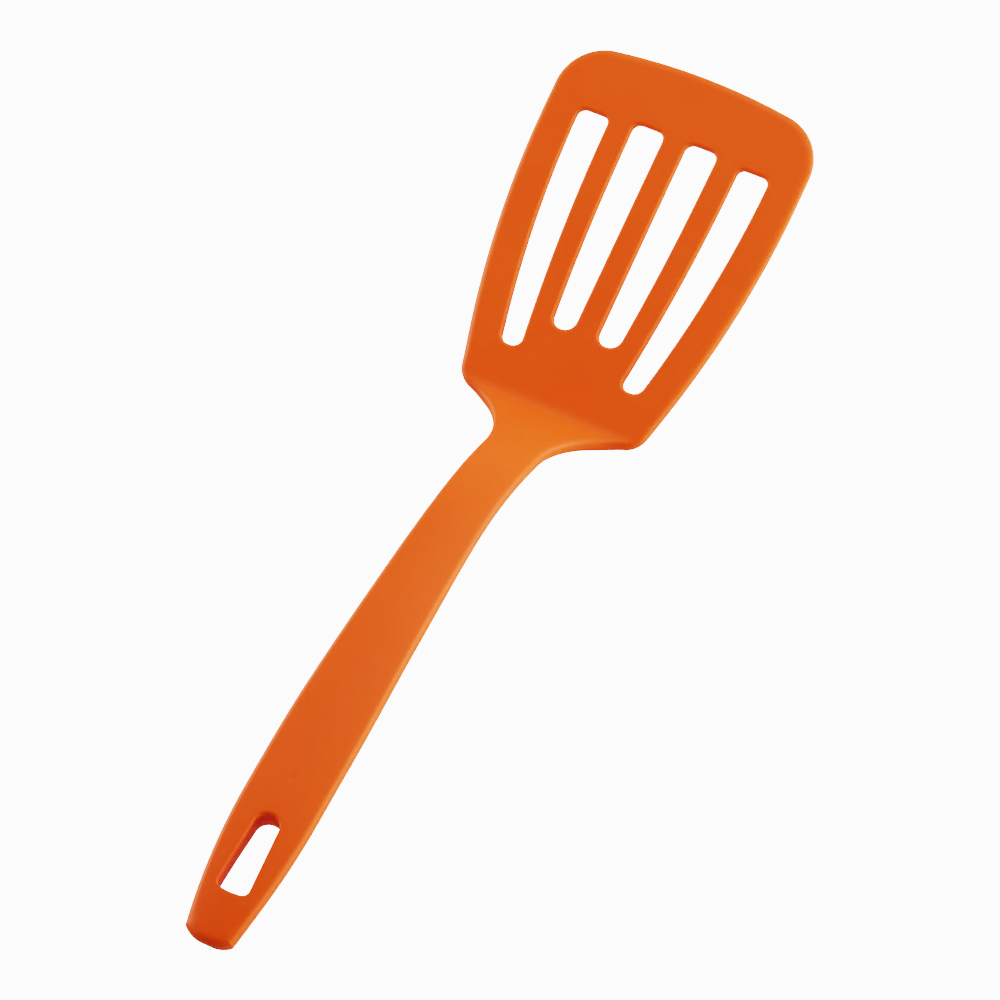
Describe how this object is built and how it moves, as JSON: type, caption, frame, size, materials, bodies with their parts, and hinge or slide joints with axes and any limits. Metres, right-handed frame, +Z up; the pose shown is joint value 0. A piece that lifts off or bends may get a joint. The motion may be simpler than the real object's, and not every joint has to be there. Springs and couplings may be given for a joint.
{
  "type": "slotted turner",
  "caption": "Slotted kitchen turner with a soft silicone skin over a sprung steel blade insert and a nylon handle core, with a pitched blade and a hang hole in the handle's end.",
  "frame": {"origin": "under the middle of the turner's box, on the table that its heel and the end of its handle rest on", "axes": "+Y along the turner from the handle's end to the blade's tip, +Z up from the table, +X across the blade to the right"},
  "size_m": [0.08, 0.293, 0.0466],
  "materials": {
    "silicone": "matte moulded silicone, orange",
    "nylon": "moulded glass-filled nylon, dyed near the skin's colour",
    "spring_steel": "stamped stainless spring steel"
  },
  "bodies": {
    "root": {"silicone_skin": "silicone", "handle_core": "nylon", "blade_insert": "spring_steel"}
  },
  "joints": []
}
